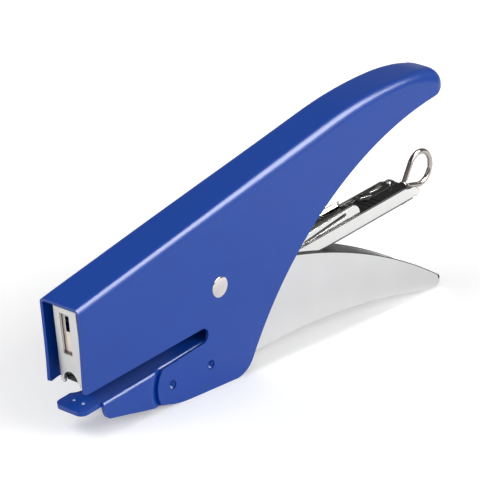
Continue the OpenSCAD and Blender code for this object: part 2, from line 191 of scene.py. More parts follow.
def plate(name, outline, y0, y1, edge, holes=()):
    """An upright plate of the magazine between y0 and y1, with holes."""
    bm = bmesh.new()
    edges = []
    for ring in (outline, *holes):
        edges += ring_edges(bm, [(x, y0, z) for x, z in ring])
    extrude(bm, fill(bm, edges, (0, -1, 0)), (0, y1 - y0, 0))
    bmesh.ops.remove_doubles(bm, verts=bm.verts, dist=1e-5)
    bmesh.ops.recalc_face_normals(bm, faces=bm.faces)
    return bake(soften(new_object(name, bm, magazine), edge, 2))


def lathe(name, profile, c, side, n):
    """Turns a profile of (radius, y) about the y axis through c; side -1 mirrors it."""
    bm = bmesh.new()
    rings = []
    for r, y in profile:
        around = circle(c, r, n) if r > 0 else [c]
        rings.append([bm.verts.new((x, y * side, z)) for x, z in around])
    for a, b in zip(rings, rings[1:]):
        for i in range(n):
            j = (i + 1) % n
            if len(a) == 1:
                bm.faces.new((a[0], b[i], b[j]))
            elif len(b) == 1:
                bm.faces.new((a[i], a[j], b[0]))
            else:
                bm.faces.new((a[i], a[j], b[j], b[i]))
    bmesh.ops.recalc_face_normals(bm, faces=bm.faces)
    return new_object(name, bm)


def tube(name, path, r, closed=False, place=standing, sides=20, axis=(0, 1, 0)):
    """A wire through a list of points. Its rings are set square to it about axis."""
    bm = bmesh.new()
    n = len(path)
    axis = Vector(axis)
    turns = [2 * pi * k / sides for k in range(sides)]
    rings = []
    for i in range(n):
        if closed:
            t = Vector(path[(i + 1) % n]) - Vector(path[i - 1])
        else:
            t = Vector(path[min(i + 1, n - 1)]) - Vector(path[max(i - 1, 0)])
        t.normalize()
        u = t.cross(axis).normalized()
        v = t.cross(u)
        rings.append([bm.verts.new(Vector(path[i]) + r * (cos(a) * u + sin(a) * v)) for a in turns])
    for i in range(n if closed else n - 1):
        a, b = rings[i], rings[(i + 1) % n]
        for k in range(sides):
            j = (k + 1) % sides
            bm.faces.new((a[k], b[k], b[j], a[j]))
    if not closed:
        bm.faces.new(rings[0])
        bm.faces.new(rings[-1][::-1])
    bmesh.ops.recalc_face_normals(bm, faces=bm.faces)
    return new_object(name, bm, place, 50)


def add_box(bm, x, y, z):
    """A box from x[0] to x[1], y[0] to y[1] and z[0] to z[1]."""
    for v in bmesh.ops.create_cube(bm, size=1)["verts"]:
        v.co = Vector([span[0] if c < 0 else span[1] for c, span in zip(v.co, (x, y, z))])


def box(name, x, y, z, edge=0.08):
    """A box of the magazine with softened edges."""
    bm = bmesh.new()
    add_box(bm, x, y, z)
    return bake(soften(new_object(name, bm, magazine), edge, 2))


def blob(name, middle, radii, place, segments, rings):
    """An ellipsoid, for a low round head or spot."""
    bm = bmesh.new()
    bmesh.ops.create_uvsphere(bm, u_segments=segments, v_segments=rings, radius=1)
    for v in bm.verts:
        v.co = Vector([m + r * c for m, r, c in zip(middle, radii, v.co)])
    return new_object(name, bm, place, 60)


def swept_cover(bm, stations, segments=6, across=4):
    """The top of a folded sheet: stations are ((x, z), (nx, nz), bend radius, half width).
    Returns the two rows of vertices where the side walls start."""
    rows = []
    for p, normal, bend, half in stations:
        flat = half - bend
        turns = [pi / 2 * k / segments for k in range(segments + 1)]
        fold = [(flat + bend * sin(a), bend * (1 - cos(a))) for a in turns]
        section = [(-y, drop) for y, drop in reversed(fold)]
        section += [(flat * (2 * k / across - 1), 0) for k in range(1, across)]
        section += fold
        rows.append([bm.verts.new((p[0] - normal[0] * drop, y, p[1] - normal[1] * drop))
                     for y, drop in section])
    join_rows(bm, rows)
    return [r[0] for r in rows], [r[-1] for r in rows]


def join_rows(bm, rows):
    """Faces between each row of vertices and the next."""
    for a, b in zip(rows, rows[1:]):
        for k in range(len(a) - 1):
            bm.faces.new((a[k], a[k + 1], b[k + 1], b[k]))


def side_walls(bm, rows, outline, y, holes=()):
    """The near and the far wall. Each hangs from a row of vertices and ends at an outline, with holes."""
    for side, row in zip((-1, 1), rows):
        verts = list(row) + [bm.verts.new((x, side * y, z)) for x, z in outline]
        edges = [edge_between(bm, verts[i], verts[(i + 1) % len(verts)]) for i in range(len(verts))]
        for hole in holes:
            edges += ring_edges(bm, [(x, side * y, z) for x, z in hole])
        fill(bm, edges, (0, side, 0))


def face_outwards(bm, axis=1):
    """Turns the normals of an open folded sheet away from its inside, judged at the low end of an axis."""
    bmesh.ops.recalc_face_normals(bm, faces=bm.faces)
    first = min(bm.faces, key=lambda f: (f.calc_center_median()[axis], -f.calc_area()))
    first.normal_update()
    if first.normal[axis] > 0:
        bmesh.ops.reverse_faces(bm, faces=bm.faces)


def slice_at(bm, axis, values):
    """Cuts the mesh along planes across an axis, so that it can be bent there."""
    normal = Vector([1 if i == axis else 0 for i in range(3)])
    for at in values:
        bmesh.ops.bisect_plane(bm, geom=bm.verts[:] + bm.edges[:] + bm.faces[:], dist=1e-4,
                               plane_co=normal * at, plane_no=normal)


def cut_round(bm, c, r, sides=20):
    """Cuts an upright round hole or notch through a sheet."""
    ways = [Vector((cos(2 * pi * i / sides), sin(2 * pi * i / sides), 0)) for i in range(sides)]
    middle = Vector((*c, 0))
    for n in ways:
        near = [f for f in bm.faces if (f.calc_center_median() - middle).xy.length < 3 * r]
        geom = near + list({e for f in near for e in f.edges}) + list({v for f in near for v in f.verts})
        bmesh.ops.bisect_plane(bm, geom=geom, dist=1e-4, plane_co=middle + n * r, plane_no=n)
    inside = [f for f in bm.faces if all((f.calc_center_median() - middle).dot(n) < r for n in ways)]
    bmesh.ops.delete(bm, geom=inside, context="FACES")


# ---------------------------------------------------------------- materials

def texture_space(nt, scale=(1, 1, 1)):
    """Object coordinates, which are the row frame's metres."""
    co = nt.nodes.new("ShaderNodeTexCoord")
    m = nt.nodes.new("ShaderNodeMapping")
    m.inputs["Scale"].default_value = scale
    nt.links.new(co.outputs["Object"], m.inputs["Vector"])
    return m.outputs["Vector"]


def noise(nt, vector, scale, detail=3, rough=0.5):
    n = nt.nodes.new("ShaderNodeTexNoise")
    n.inputs["Scale"].default_value = scale
    n.inputs["Detail"].default_value = detail
    n.inputs["Roughness"].default_value = rough
    nt.links.new(vector, n.inputs["Vector"])
    return n.outputs["Fac"]


def spread(nt, value, low, high, start=0.3, end=0.7):
    """Maps a value from start to end, by default the usual span of a noise, to a range."""
    m = nt.nodes.new("ShaderNodeMapRange")
    m.inputs["From Min"].default_value = start
    m.inputs["From Max"].default_value = end
    m.inputs["To Min"].default_value = low
    m.inputs["To Max"].default_value = high
    nt.links.new(value, m.inputs["Value"])
    return m.outputs["Result"]


def maths(nt, operation, a, b):
    m = nt.nodes.new("ShaderNodeMath")
    m.operation = operation
    nt.links.new(a, m.inputs[0])
    nt.links.new(b, m.inputs[1])
    return m.outputs["Value"]


def mixed(nt, fac, a, b):
    m = nt.nodes.new("ShaderNodeMix")
    m.data_type = "RGBA"
    m.inputs["A"].default_value = (*a, 1)
    m.inputs["B"].default_value = (*b, 1)
    nt.links.new(fac, m.inputs["Factor"])
    return m.outputs["Result"]


def bump(nt, height, strength, distance):
    b = nt.nodes.new("ShaderNodeBump")
    b.inputs["Strength"].default_value = strength
    b.inputs["Distance"].default_value = distance
    nt.links.new(height, b.inputs["Height"])
    return b.outputs["Normal"]


def material(name):
    m = bpy.data.materials.new(name)
    m.use_nodes = True
    nt = m.node_tree
    return m, nt, nt.nodes["Principled BSDF"]


def paint(name, tone_a, tone_b, rough):
    """Stoved enamel: a deep colour under a gloss that has a faint orange peel."""
    m, nt, bsdf = material(name)
    at = texture_space(nt)
    nt.links.new(mixed(nt, spread(nt, noise(nt, at, 60, 4), 0, 1), tone_a, tone_b), bsdf.inputs["Base Color"])
    nt.links.new(spread(nt, noise(nt, at, 600), rough * 0.95, rough * 1.05), bsdf.inputs["Roughness"])
    nt.links.new(bump(nt, noise(nt, at, 1800, 2), 0.012, 0.00003), bsdf.inputs["Normal"])
    bsdf.inputs["IOR"].default_value = 1.42
    return m


def metal(name, tone_a, tone_b, rough_low, rough_high, scale, depth, grain=(1, 1, 1), metallic=1):
    """Bare or plated metal: slow changes of tone, and a fine grain of gloss and depth."""
    m, nt, bsdf = material(name)
    fine = noise(nt, texture_space(nt, grain), scale, 4, 0.6)
    tone = spread(nt, noise(nt, texture_space(nt), 90), 0, 1)
    nt.links.new(mixed(nt, tone, tone_a, tone_b), bsdf.inputs["Base Color"])
    nt.links.new(spread(nt, fine, rough_low, rough_high), bsdf.inputs["Roughness"])
    nt.links.new(bump(nt, fine, depth, 0.0001), bsdf.inputs["Normal"])
    bsdf.inputs["Metallic"].default_value = metallic
    return m


def plastic(name, tone_a, tone_b, rough_low, rough_high, specular=0.5):
    m, nt, bsdf = material(name)
    at = texture_space(nt)
    fine = noise(nt, at, 1500)
    nt.links.new(mixed(nt, spread(nt, noise(nt, at, 200), 0, 1), tone_a, tone_b), bsdf.inputs["Base Color"])
    nt.links.new(spread(nt, fine, rough_low, rough_high), bsdf.inputs["Roughness"])
    nt.links.new(bump(nt, fine, 0.15, 0.0001), bsdf.inputs["Normal"])
    bsdf.inputs["Specular IOR Level"].default_value = specular
    return m


BLUE = paint("blue_enamel", (0.001, 0.054, 0.37), (0.0014, 0.058, 0.39), 0.3)
CHROME = metal("satin_chrome", (0.63, 0.63, 0.635), (0.66, 0.66, 0.665), 0.12, 0.16, 300, 0.01)
BRIGHT = metal("bright_chrome", (0.67, 0.665, 0.66), (0.72, 0.715, 0.71), 0.06, 0.1, 300, 0.01)
STEEL = metal("plain_steel", (0.42, 0.42, 0.43), (0.50, 0.50, 0.50), 0.28, 0.42, 700, 0.04, (0.2, 1, 1))
SPRING = metal("spring_steel", (0.30, 0.29, 0.28), (0.38, 0.37, 0.36), 0.2, 0.32, 500, 0.02)
# The ring's wire is darker and browner than bright nickel: painted shade, so that it reads dark against the
# white.
RING = metal("nickel_wire_painted_shade", (0.37, 0.335, 0.315), (0.44, 0.40, 0.375), 0.08, 0.13, 400, 0.01)
# The rivet heads are darker and warmer than the bright chrome: a painted dark reflection in the domes.
RIVET = metal("rivet_head", (0.58, 0.545, 0.535), (0.63, 0.59, 0.58), 0.1, 0.14, 300, 0.01)
PLATE = metal("satin_plate", (0.62, 0.62, 0.615), (0.66, 0.66, 0.655), 0.3, 0.36, 300, 0.01, metallic=0.7)
BLADE = metal("polished_blade", (0.62, 0.55, 0.50), (0.70, 0.63, 0.58), 0.12, 0.18, 500, 0.01)
ZINC = metal("zinc_plate", (0.70, 0.71, 0.73), (0.80, 0.80, 0.80), 0.22, 0.34, 600, 0.03)
BLACKENED = metal("blackened_steel", (0.05, 0.05, 0.052), (0.08, 0.08, 0.08), 0.25, 0.4, 500, 0.03)
BLACK = plastic("black_plastic", (0.008, 0.008, 0.009), (0.014, 0.014, 0.015), 0.25, 0.42, 0.25)
# Near-black for the sheets' cut edges and roundings: a painted shade along the edges.
EDGE_SHADE = plastic("cut_edge_painted_shade", (0.05, 0.05, 0.05), (0.08, 0.078, 0.076), 0.5, 0.65, 0.05)
# Light bluish white for the two clinch spots: partly worn bare metal, partly a painted highlight.
WORN_AND_HIGHLIGHT = plastic("worn_spot_and_painted_highlight", (0.55, 0.6, 0.72), (0.66, 0.7, 0.8), 0.25, 0.4)
LOOK = {"blue_paint": BLUE, "chrome": CHROME, "steel": STEEL, "spring_steel": SPRING, "zinc": ZINC,
        "black_plastic": BLACK}


def dress(o, body, slot, look=None, stands_for=()):
    """Gives a piece its look, the one of its slot unless one is given, its body, and hides the CAD nodes that
    it stands for.
    """
    if len(o.data.materials) > 1:
        o.data.materials[0] = look or LOOK[slot]
    else:
        o.data.materials.clear()
        o.data.materials.append(look or LOOK[slot])
    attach(o, body)
    if stands_for:
        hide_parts(*stands_for)
    return o


# ---------------------------------------------------------------- body shell

# One folded sheet. The outer line of its roof is a ramp, then the handle's long curve, then a short fall to
# the nose. Below, the grip's hollow curve runs into the heel, the belly, the round jaw panel and the throat.
SHEET = 0.9
BODY_Y = 7.5
FRONT_X, FRONT_LEAN, FRONT_CORNER_R = -54.5, 1.9, 0.9
FAR_WALL_LEAN, LEAN_X, LEAN_RUN = 0.17, -49.5, 5
LEAN_TOP_Z, LEAN_DROP = 14, 30
ROOF_OVER_RIVET, ROOF_TILT = 23.7, 14.8
BACK_TOP_X, BACK_R = 85, 147
NOSE_FALL_X, NOSE_FALL_R = 86.3, 33
NOSE_X, NOSE_RUN, NOSE_SQUARENESS = 97.9, 5.3, 2.86
NOSE_BEND, NOSE_BEND_X = 5.2, 78.8
HEM_X, HEM_RISE, HEM_RISE_X, HEM_RISE_RUN = 94.5, 1.9, 92.7, 4.4
FOLD_R, FOLD_GROWTH = 2.0, 0.7


def roof_z(x):
    """Height of the straight part of the roof."""
    return ROOF_OVER_RIVET + x * tan(radians(ROOF_TILT))


BACK_X0 = BACK_TOP_X - BACK_R * sin(radians(ROOF_TILT))
BACK_CZ = roof_z(BACK_X0) - BACK_R * cos(radians(ROOF_TILT))
FALL_A = atan2(sqrt(BACK_R ** 2 - (NOSE_FALL_X - BACK_TOP_X) ** 2), NOSE_FALL_X - BACK_TOP_X)
FALL_C = (BACK_TOP_X + (BACK_R - NOSE_FALL_R) * cos(FALL_A), BACK_CZ + (BACK_R - NOSE_FALL_R) * sin(FALL_A))
GRIP_C, GRIP_R = (110.6, -74.4), 108.6
BELLY_X, BELLY_R = -12, 33
HEEL_R = 8
HEEL_Z = HEEL_R - PIVOT_Z
HEEL_DZ = HEEL_Z - GRIP_C[1]
HEEL_X = GRIP_C[0] - sqrt((GRIP_R + HEEL_R) ** 2 - HEEL_DZ ** 2)
HEEL_END = math.degrees(atan2(HEEL_DZ, HEEL_X - GRIP_C[0]))
THROAT, THROAT_R = (-6.9, -12.7), 2.3
THROAT_TILT = tan(radians(6.6))
PANEL_C, PANEL_R = (-15.9, -23.1), 8.8
JAW_RIVETS = ((-19.0, -23.2), (-3.7, -22.1))
STUD_HOLE_R = 1.45
STUD_HOLES = [circle(c, STUD_HOLE_R, 28) for c in JAW_RIVETS]


def throat_top(x):
    """Height of the sloping edge above the jaw."""
    return THROAT[1] + THROAT_R + (x - THROAT[0]) * THROAT_TILT


def back_line(x):
    """Height and slope of the roof's outer line: a ramp, the handle's long curve, the fall to its nose."""
    if x < BACK_X0:
        return roof_z(x), radians(ROOF_TILT)
    c, r = ((BACK_TOP_X, BACK_CZ), BACK_R) if x < NOSE_FALL_X else (FALL_C, NOSE_FALL_R)
    return c[1] + sqrt(r * r - (x - c[0]) ** 2), asin((c[0] - x) / r)


def roof_bend(x):
    """Outer radius of the fold between roof and wall; the nose is drawn rounder."""
    plain = FOLD_R + FOLD_GROWTH * smooth((x + 20) / 60)
    return plain + (NOSE_BEND - plain) * smooth((x - NOSE_BEND_X) / (NOSE_X - NOSE_BEND_X))


def grip_z(x):
    """Height of the handle's lower edge, which turns up round the nose."""
    plain = GRIP_C[1] + sqrt(GRIP_R ** 2 - (min(x, HEM_X) - GRIP_C[0]) ** 2)
    return plain + HEM_RISE * smooth((x - HEM_RISE_X) / HEM_RISE_RUN)


def shell_plan():
    """The fold seen from above, as (outer x, outer half width, inner x, inner half width), front to nose."""
    start = NOSE_X - NOSE_RUN
    xs = [FRONT_X + (BACK_X0 - FRONT_X) * i / 24 for i in range(24)]
    xs += [BACK_X0 + (start - BACK_X0) * i / 22 for i in range(23)]
    plan = [(x, BODY_Y, x, BODY_Y - roof_bend(x)) for x in xs]
    inner = BODY_Y - roof_bend(start)
    for i in range(1, 19):
        a = radians(5 * i)
        outer_x = start + NOSE_RUN * sin(a) ** (2 / NOSE_SQUARENESS)
        outer_y = BODY_Y * cos(a) ** (2 / NOSE_SQUARENESS)
        plan.append((outer_x, outer_y, start + (NOSE_RUN - NOSE_BEND) * sin(a), inner * cos(a)))
    return plan


def shell_outline():
    """The free edge of a side wall, from the nose of the handle to the front edge."""
    out = [p for p in arc(GRIP_C, GRIP_R, 99, HEEL_END, 44) if p[0] < NOSE_X - NOSE_RUN - 1.5]
    out += arc((HEEL_X, HEEL_Z), HEEL_R, HEEL_END - 180, -90, 12)[1:]
    out += arc((BELLY_X, BELLY_R - PIVOT_Z), BELLY_R, -90, -106, 6)
    out += arc(PANEL_C, PANEL_R, 214, 141, 16)
    out += [(THROAT[0] - 0.4, THROAT[1] - THROAT_R - 0.02)]
    out += arc(THROAT, THROAT_R, -80, 90, 14)
    out += [(x, throat_top(x)) for x in (-20, -32, -44)]
    x = FRONT_X + FRONT_LEAN + FRONT_CORNER_R
    out += arc((x, throat_top(x) + FRONT_CORNER_R), FRONT_CORNER_R, -84, -176, 6)
    return out


def wall_lean(co):
    """Share of its half width that a wall keeps: the far one leans in at the foot of the front opening."""
    if co.y < 0:
        return 1
    forward, down = (LEAN_X - co.x) / LEAN_RUN, (LEAN_TOP_Z - co.z) / LEAN_DROP
    return 1 - FAR_WALL_LEAN * smooth(forward) * smooth(down)


def folded_roof(bm, segments=9, across=5):
    """Roof, folds and nose of the shell. Returns the two rows of vertices that the side walls hang from."""
    plan = shell_plan()
    rows = []
    for xo, yo, xi, yi in plan:
        z, slope = back_line(xi)
        slope *= smooth((NOSE_X - 2 - xi) / 12)
        fold = []
        for k in range(segments + 1):
            a = pi / 2 * k / segments
            drop = roof_bend(xo) * (1 - cos(a))
            x = xi + (xo - xi) * sin(a) + drop * sin(slope)
            fold.append((x, yi + (yo - yi) * sin(a), z - drop * cos(slope)))
        line = [(x, -y, h) for x, y, h in reversed(fold)]
        line += [(xi, yi * (2 * k / across - 1), z) for k in range(1, across)]
        line += fold
        rows.append([bm.verts.new(p) for p in line])
    join_rows(bm, rows)
    straight = sum(1 for p in plan if p[1] > BODY_Y - 1e-6)
    sides = []
    for k in (0, -1):
        top = [r[k] for r in rows[straight - 1:]]
        hem = [bm.verts.new((v.co.x, v.co.y, grip_z(v.co.x))) for v in top]
        for i in range(len(top) - 1):
            bm.faces.new((top[i], top[i + 1], hem[i + 1], hem[i]))
        sides.append([r[k] for r in rows[:straight]] + [hem[0]])
    return sides


def body_shell():
    bm = bmesh.new()
    side_walls(bm, folded_roof(bm), shell_outline(), BODY_Y, STUD_HOLES)
    bmesh.ops.remove_doubles(bm, verts=bm.verts, dist=1e-4)
    slice_at(bm, 0, [-52, -49, -46, -43, -40, -36, -30])
    slice_at(bm, 2, [-10, -6, -2, 2, 6])
    face_outwards(bm)
    for v in bm.verts:
        v.co.y *= wall_lean(v.co)
    o = new_object("body_shell_sheet", bm, standing, 35)
    thicken(o, SHEET)
    soften(o, 0.3, 4, 40)
    dress(bake(o), "frame", "blue_paint", stands_for=["body_shell"])


body_shell()

# ---------------------------------------------------------------- lower jaw

# A channel with its open side down, let in between the body's panels, and a flat tongue in front of it.
JAW_TILT = radians(7.5)
JAW_UP = (-sin(JAW_TILT), cos(JAW_TILT))
JAW_SHEET, JAW_BEND = 1.4, 1.15
JAW_STEP_X, JAW_BACK_X = -45.3, -1
JAW_FOOT_Z = -29.1
JAW_TOP_AT = (-31.5, -18.33)
JAW_STEP_IN, JAW_STEP_RUN = 0.95, 2.3
TONGUE_X, TONGUE_Y, TONGUE_HALF = -52.55, -0.85, 5.4
TONGUE_CORNER_R = 2.2
NOTCH_C, NOTCH_R = (-42.6, 7.4), 4.6
RECESS_X, RECESS_Y = -47.9, 1.73


def jaw_top(x):
    return JAW_TOP_AT[1] + (x - JAW_TOP_AT[0]) * tan(JAW_TILT)


def jaw_half(x, z):
    """Half width of the jaw: flush with the panels in front, stepped inwards under them."""
    d = sqrt((x - PANEL_C[0]) ** 2 + (z - PANEL_C[1]) ** 2) if x < PANEL_C[0] else 0
    return BODY_Y - JAW_STEP_IN * (1 - smooth((d - PANEL_R - 0.15) / JAW_STEP_RUN))


def jaw_channel(bm):
    """The top and the side walls behind the tongue."""
    xs = [JAW_STEP_X] + [JAW_STEP_X + 1.5 + i * 1.45 for i in range(30)] + [JAW_BACK_X]
    rows = swept_cover(bm, [((x, jaw_top(x)), JAW_UP, JAW_BEND, BODY_Y) for x in xs], across=6)
    lower = [(JAW_BACK_X, JAW_FOOT_Z), (-7, JAW_FOOT_Z), (-14, JAW_FOOT_Z), (-23, -28.4), (-29.9, -27.4)]
    lower += [(-35.7, -26.4)]
    lower += [(JAW_STEP_X + run, z) for run, z in
              ((2.9, -25.35), (2.0, -25.2), (1.3, -24.75), (0.75, -23.8), (0.35, -22.6))]
    side_walls(bm, rows, lower, BODY_Y, STUD_HOLES)
    slice_at(bm, 0, [-30 + 0.4 * i for i in range(22)])
    slice_at(bm, 2, range(-28, -17))
    for v in bm.verts:
        v.co.y *= jaw_half(v.co.x, v.co.z) / BODY_Y


def recess_ring(bm, y, size, depth):
    """The four vertices of a clinch recess's rim, or of its floor at a smaller size."""
    return [bm.verts.new((RECESS_X + sx * size, y + 0.6 * sy * size, jaw_top(RECESS_X + sx) - depth))
            for sx, sy in ((-1, -1), (1, -1), (1, 1), (-1, 1))]


def jaw_tongue(bm):
    """The flat tongue in front of the channel, with round corners and two dished clinch recesses."""
    front = sorted([v for v in bm.verts if abs(v.co.x - JAW_STEP_X) < 0.35 and abs(v.co.y) < 6.4
                    and v.co.z > jaw_top(JAW_STEP_X) - 0.3], key=lambda v: v.co.y)
    outline = []
    for side, root in ((1, front[-1].co.y), (-1, front[0].co.y)):
        edge, r = TONGUE_Y + side * TONGUE_HALF, TONGUE_CORNER_R
        half = [(JAW_STEP_X - 1 + cos(radians(a)), edge + (root - edge) * (1 - sin(radians(a))))
                for a in (30, 60, 90)]
        half += [(TONGUE_X + r - r * sin(radians(a)), edge - side * r * (1 - cos(radians(a))))
                 for a in range(0, 91, 15)]
        outline += half[::side]
    verts = [front[-1]] + [bm.verts.new((x, y, jaw_top(x))) for x, y in outline] + front
    edges = [edge_between(bm, a, b) for a, b in zip(verts, verts[1:])]
    recesses = []
    for side in (-1, 1):
        y = TONGUE_Y + side * RECESS_Y
        rim, dish = recess_ring(bm, y, 1, 0), recess_ring(bm, y, 0.45, 0.35)
        edges += [bm.edges.new((rim[i], rim[(i + 1) % 4])) for i in range(4)]
        recesses.append((rim, dish))
    fill(bm, edges, (JAW_UP[0], 0, JAW_UP[1]))
    for rim, dish in recesses:
        for i in range(4):
            bm.faces.new((rim[i], rim[(i + 1) % 4], dish[(i + 1) % 4], dish[i]))
        bm.faces.new(dish)


def lower_jaw():
    bm = bmesh.new()
    jaw_channel(bm)
    jaw_tongue(bm)
    bmesh.ops.remove_doubles(bm, verts=bm.verts, dist=1e-3)
    cut_round(bm, NOTCH_C, NOTCH_R)
    face_outwards(bm)
    o = new_object("lower_jaw_sheet", bm, standing, 35)
    bake(thicken(o, JAW_SHEET))
    soften(o, 0.3, 3, 40)
    dress(bake(o), "frame", "blue_paint", stands_for=["lower_jaw"])


lower_jaw()


def clinch_wear_and_highlight():
    """Light bluish spots in the two recesses of the tongue, where staples have closed: partly bare metal worn
    there, partly a painted highlight.
    """
    for side, name in ((-1, "near"), (1, "far")):
        x, y = RECESS_X - 0.45, TONGUE_Y + side * RECESS_Y
        spot = blob(f"clinch_wear_and_highlight_{name}", (x, y, jaw_top(x) - 0.2), (0.6, 0.5, 0.22), standing, 20, 12)
        dress(spot, "frame", "chrome", WORN_AND_HIGHLIGHT)


clinch_wear_and_highlight()


def jaw_rivets():
    """Staked studs, flush in the panels, with dished faces. The CAD node that they replace is hidden."""
    profile = [(0, 6.25), (0.55, 6.3), (0.95, 6.75), (1.2, 7.05), (1.42, 7.12), (1.42, 5.2)]
    profile += [(2.1, 5.2), (2.1, 4.9), (0, 4.9)]
    for i, at in enumerate(JAW_RIVETS):
        for side, where in ((-1, "near"), (1, "far")):
            stud = lathe(f"jaw_stud_{i}_{where}", profile, at, side, 32)
            dress(stud, "frame", "blue_paint")
    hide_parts("jaw_rivets")


jaw_rivets()

# ---------------------------------------------------------------- main rivet

def main_rivet():
    """The rivet with a low domed head at each end."""
    head = [(0, 7.98), (1.0, 7.965), (1.8, 7.92), (2.5, 7.82), (2.9, 7.7), (3.03, 7.62)]
    head += [(3.05, BODY_Y), (2.0, BODY_Y)]
    profile = head + [(r, -y) for r, y in reversed(head)]
    # The heads' darker, warmer tone is painted dark reflection.
    dress(lathe("main_rivet", profile, (0, 0), 1, 72), "frame", "chrome", RIVET, ["pivot_rivet"])


main_rivet()

# ---------------------------------------------------------------- lever

# A channel inside the body's, with a crowned top edge, a hollow floor, a round nose and two arms in front.
LEVER_Y = 6.0
LEVER_SHEET, LEVER_BEND = 1.0, 1.6
TOP_C, TOP_R = (-2.3, -188.9), 191.7
FLOOR_C, FLOOR_R = (43.3, -250.6), 226.3
NOSE_C, NOSE_R = (96.9, 2.6 - PIVOT_Z), 2.6
PIN_AT = (-47.6, 2.4)
EYE_R = 6
RIVET_HOLE = circle((0, 0), 2.06, 32)


def lever_stations():
    """The lever's closed underside, from behind the body to round its nose."""
    out = []
    for x in range(16, 92, 3):
        z = FLOOR_C[1] + sqrt(FLOOR_R ** 2 - (x - FLOOR_C[0]) ** 2)
        down = ((FLOOR_C[0] - x) / FLOOR_R, (FLOOR_C[1] - z) / FLOOR_R)
        out.append(((x, z), down, LEVER_BEND, LEVER_Y))
    for i in range(10):
        a = radians(-90 + 118 * i / 9)
        at = (NOSE_C[0] + NOSE_R * cos(a), NOSE_C[1] + NOSE_R * sin(a))
        out.append((at, (cos(a), sin(a)), LEVER_BEND, LEVER_Y))
    return out


def lever_outline():
    """The free edge of a side wall: the long top, the eye on the rivet, the arm to the pin and back."""
    out = crest(TOP_C, TOP_R, 97.2, 8, 40)
    out += arc((0, 0), EYE_R, 60, 120, 8)
    out += [(-20, 5.6), (PIN_AT[0] + 1.5, PIN_AT[1] + 2.9)]
    out += arc(PIN_AT, 3, 100, 260, 14)
    out += [(PIN_AT[0] + 2, PIN_AT[1] - 3)]
    out += arc((0, 0), EYE_R, 215, 290, 8)
    out += [(6.5, -14), (9.5, -21), (13, -24.6)]
    return out


def lever():
    bm = bmesh.new()
    side_walls(bm, swept_cover(bm, lever_stations()), lever_outline(), LEVER_Y, [RIVET_HOLE])
    face_outwards(bm)
    o = new_object("lever_sheet", bm, standing, 35)
    # The lever's cut edges and roundings take the near-black look: painted shade along its edges.
    thicken(o, LEVER_SHEET, EDGE_SHADE)
    soften(o, 0.24, 3, 40, 1)
    # A dark wire along each top edge of the lever: a painted shadow line.
    for side, where in ((-1, "near"), (1, "far")):
        path = [(x, side * (LEVER_Y - 0.12), z - 0.06) for x, z in crest(TOP_C, TOP_R, 8, 97.2, 30)]
        dress(tube(f"lever_edge_shadow_line_{where}", path, 0.16, sides=10), "lever", "chrome", EDGE_SHADE)
    dress(bake(o), "lever", "chrome", CHROME, ["lever_handle"])


lever()

# ---------------------------------------------------------------- magazine

# In the magazine's own frame: the channel, the inner frame's two plates, the front plate and the blade.
MAG_FRONT, MAG_START, MAG_BACK = -51.2, -49.1, 89.3
MAG_BASE, MAG_TOP = -8.6, -4.1
MAG_Y, MAG_SHEET = 4.9, 0.7
FRAME_Y = MAG_Y - MAG_SHEET
FRAME_IN_Y = 3.3
RAIL_X, RAIL_FOOT_Z, RAIL_TOP = -49.05, -7.85, -1.4
NEAR_RISE, NEAR_END = 0.75, 63
FAR_RISE, FAR_END = -0.5, 63.1
BLADE_X, BLADE_SHEET = -50.3, 0.5
CORE_X = -49.55


def magazine_channel():
    bm = bmesh.new()
    bend = 0.95
    xs = [MAG_START] + [-45 + 8 * i for i in range(17)] + [MAG_BACK - 3]
    rows = swept_cover(bm, [((x, MAG_BASE), (0, -1), bend, MAG_Y) for x in xs], 5, 2)
    top = [(MAG_BACK - back, MAG_BASE + up) for back, up in ((1.6, 0.35), (0.6, 0.6), (0, 1.2))]
    top += [(MAG_BACK - back, MAG_TOP - down) for back, down in
            ((0.25, 2.5), (0.9, 1.85), (1.9, 1.1), (3.1, 0.65), (4.6, 0.62), (5.6, 0.4), (6.6, 0))]
    top += [(40, MAG_TOP), (0, MAG_TOP), (MAG_START, MAG_TOP)]
    side_walls(bm, rows, top, MAG_Y)
    face_outwards(bm)
    # A dark wire in the channel's near lower fold: a painted shade line.
    fold = [(x, -MAG_Y + 0.2, MAG_BASE + 0.24) for x in (MAG_START, 0, 40, MAG_BACK - 3.4)]
    dress(tube("channel_fold_shade_line", fold, 0.12, place=magazine, sides=10), "magazine", "chrome", EDGE_SHADE)
    o = new_object("magazine_sheet", bm, magazine, 35)
    # The channel's roundings take the near-black look: painted shade along its edges.
    thicken(o, MAG_SHEET, EDGE_SHADE, False)
    soften(o, 0.14, 3, 40, 1)
    dress(bake(o), "magazine", "chrome", BRIGHT, ["magazine_channel"])
    lug = box("magazine_lug", (81.9, 83.7), (-FRAME_Y, 1.2 - FRAME_Y), (MAG_BASE - 0.78, MAG_BASE + 0.2), 0.2)
    dress(lug, "magazine", "chrome", BRIGHT)


magazine_channel()


def long_slot(front, rear):
    """A slot with round ends, each given as (x, z, radius, turn of its end)."""
    x, z, r, turn = rear
    out = arc((x, z), r, turn - 90, turn + 90, 8)
    x, z, r, turn = front
    return out + arc((x, z), r, turn + 90, turn + 270, 8)


